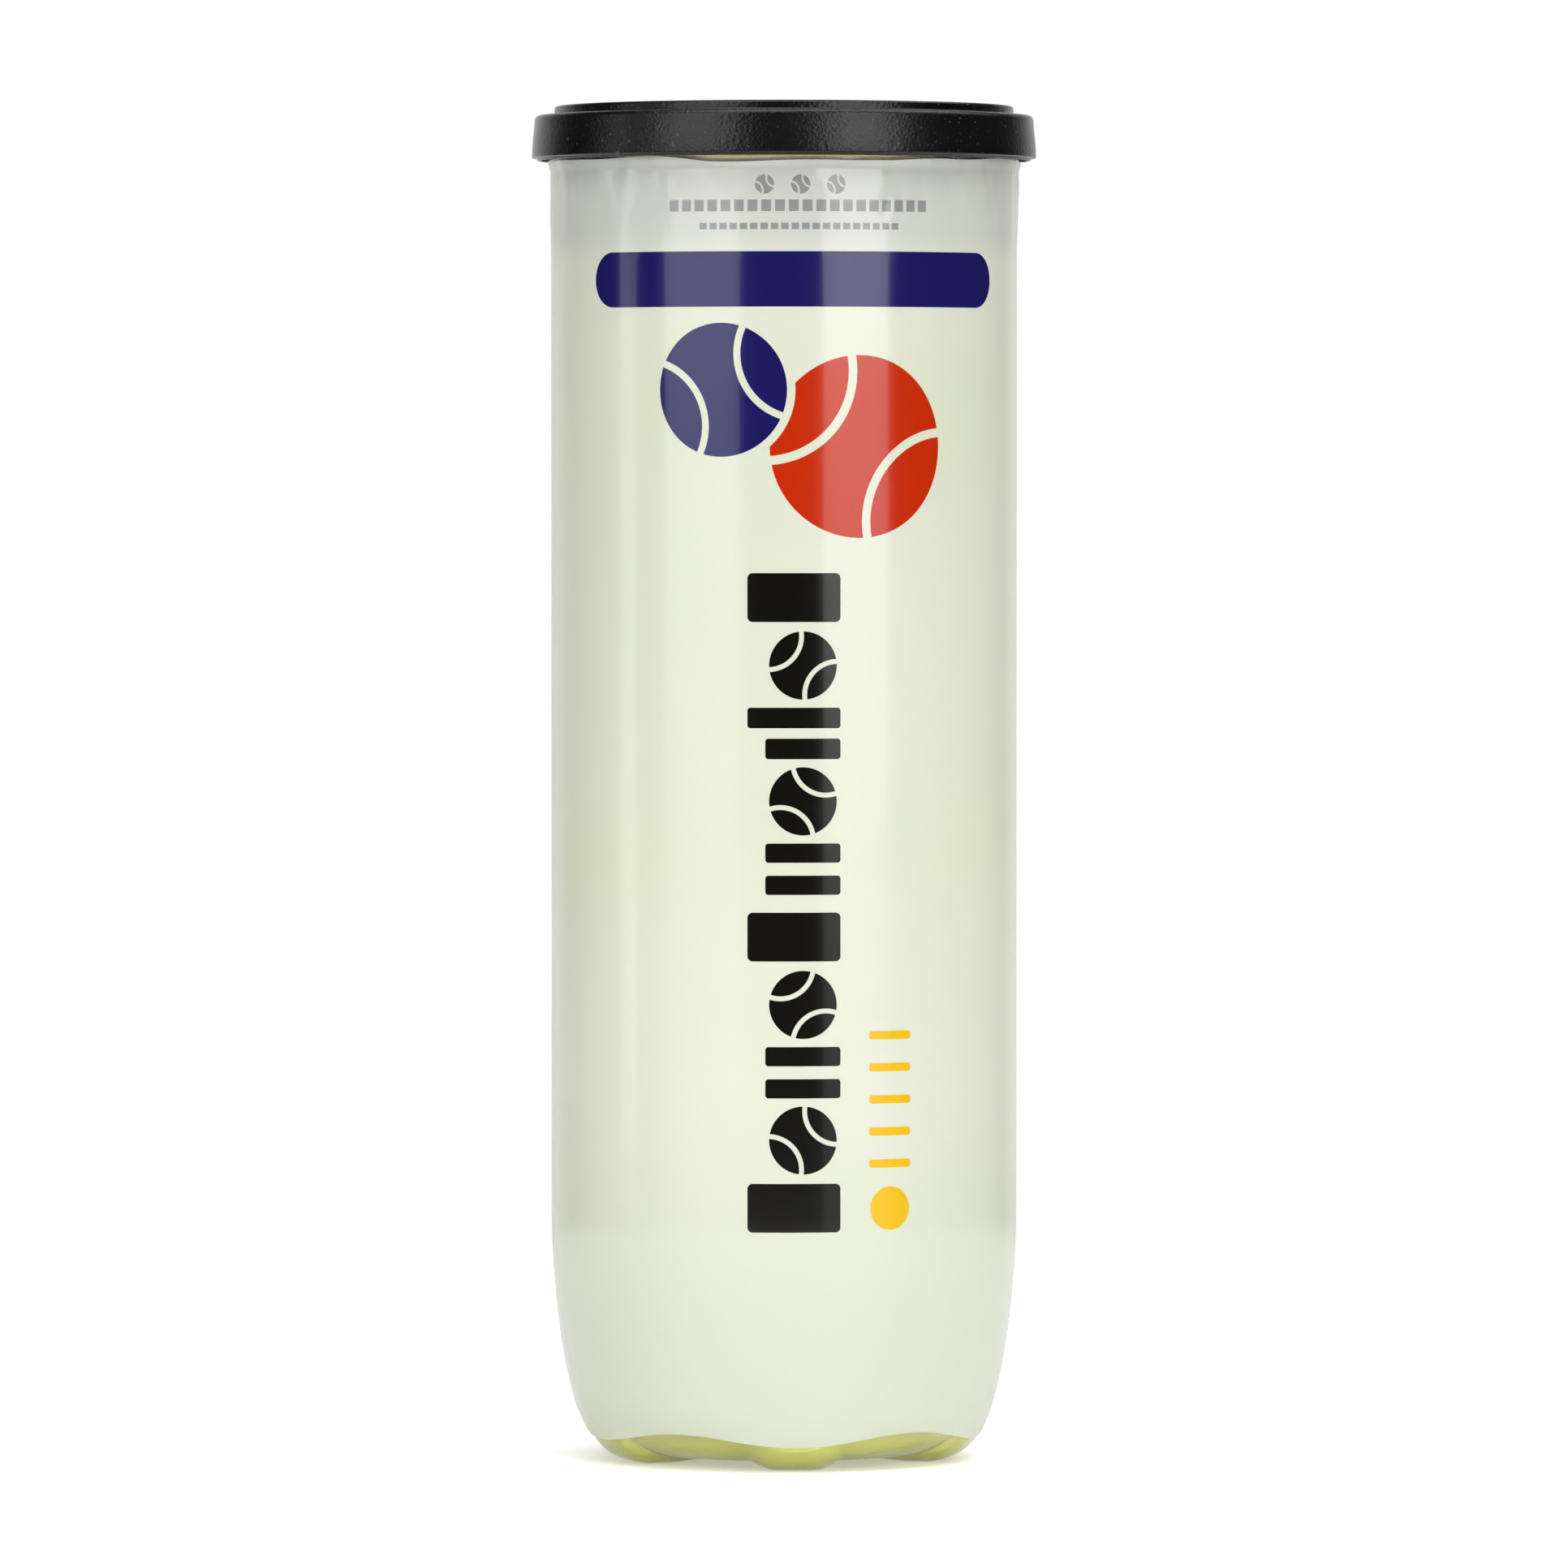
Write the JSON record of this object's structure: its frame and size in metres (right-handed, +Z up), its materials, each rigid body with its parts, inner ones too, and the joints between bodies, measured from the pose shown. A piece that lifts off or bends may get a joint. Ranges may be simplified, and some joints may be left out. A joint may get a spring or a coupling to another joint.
{
  "type": "tennis ball can",
  "caption": "Tall round clear-plastic can of tennis balls with a milky printed sleeve, five small feet, a ring-pull metal end and a black push-on cap.",
  "frame": {"origin": "on the floor under the can's axis, which is the bottom centre of its box", "axes": "+Z up the can's axis; -Y is the front, where the label's middle and one foot are"},
  "size_m": [0.0798, 0.0798, 0.214],
  "materials": {
    "clear_pet": "clear blown polyester, glossy",
    "printed_film": "milky translucent shrink film, glossy, printed",
    "gold_lacquered_metal": "clear gold lacquer over bright sheet metal",
    "tab_metal": "bright, curled edges",
    "sealing_compound": "matte",
    "black_cap_plastic": "semi-matte, fine grain",
    "yellow_felt": "napped felt",
    "seam_rubber": "matte",
    "core_rubber": "matte",
    "rubber_cement": "matte"
  },
  "bodies": {
    "can": {"canister": "clear_pet", "sleeve_label": "printed_film", "end_ring": "gold_lacquered_metal", "seam_compound": "sealing_compound"},
    "bottom_ball": {"ball_1_core_lower": "core_rubber", "ball_1_core_upper": "core_rubber", "ball_1_core_cement": "rubber_cement", "ball_1_felt_lower": "yellow_felt", "ball_1_felt_upper": "yellow_felt", "ball_1_seam_rubber": "seam_rubber"},
    "middle_ball": {"ball_2_core_lower": "core_rubber", "ball_2_core_upper": "core_rubber", "ball_2_core_cement": "rubber_cement", "ball_2_felt_lower": "yellow_felt", "ball_2_felt_upper": "yellow_felt", "ball_2_seam_rubber": "seam_rubber"},
    "top_ball": {"ball_3_core_lower": "core_rubber", "ball_3_core_upper": "core_rubber", "ball_3_core_cement": "rubber_cement", "ball_3_felt_lower": "yellow_felt", "ball_3_felt_upper": "yellow_felt", "ball_3_seam_rubber": "seam_rubber"},
    "end_panel": {"tear_panel": "gold_lacquered_metal", "tab_tongue": "tab_metal"},
    "tab": {"pull_tab": "tab_metal"},
    "cap": {"overcap": "black_cap_plastic"}
  },
  "joints": [
    {"name": "bottom_ball_slide", "type": "slide", "parent": "can", "child": "bottom_ball", "axis": [0, 0, 1], "range_m": [0, 0.215]},
    {"name": "middle_ball_slide", "type": "slide", "parent": "bottom_ball", "child": "middle_ball", "axis": [0, 0, 1], "range_m": [0, 0.15]},
    {"name": "top_ball_slide", "type": "slide", "parent": "middle_ball", "child": "top_ball", "axis": [0, 0, 1], "range_m": [0, 0.085]},
    {"name": "panel_pull_out", "type": "slide", "parent": "top_ball", "child": "end_panel", "axis": [0, 0, 1], "range_m": [0, 0.025]},
    {"name": "tab_lift", "type": "hinge", "parent": "end_panel", "child": "tab", "pos_m": [0, -0.0302, 0.20435], "axis": [1, 0, 0], "range_deg": [0, 9]},
    {"name": "cap_pull_off", "type": "slide", "parent": "end_panel", "child": "cap", "axis": [0, 0, 1], "range_m": [0, 0.04]}
  ]
}
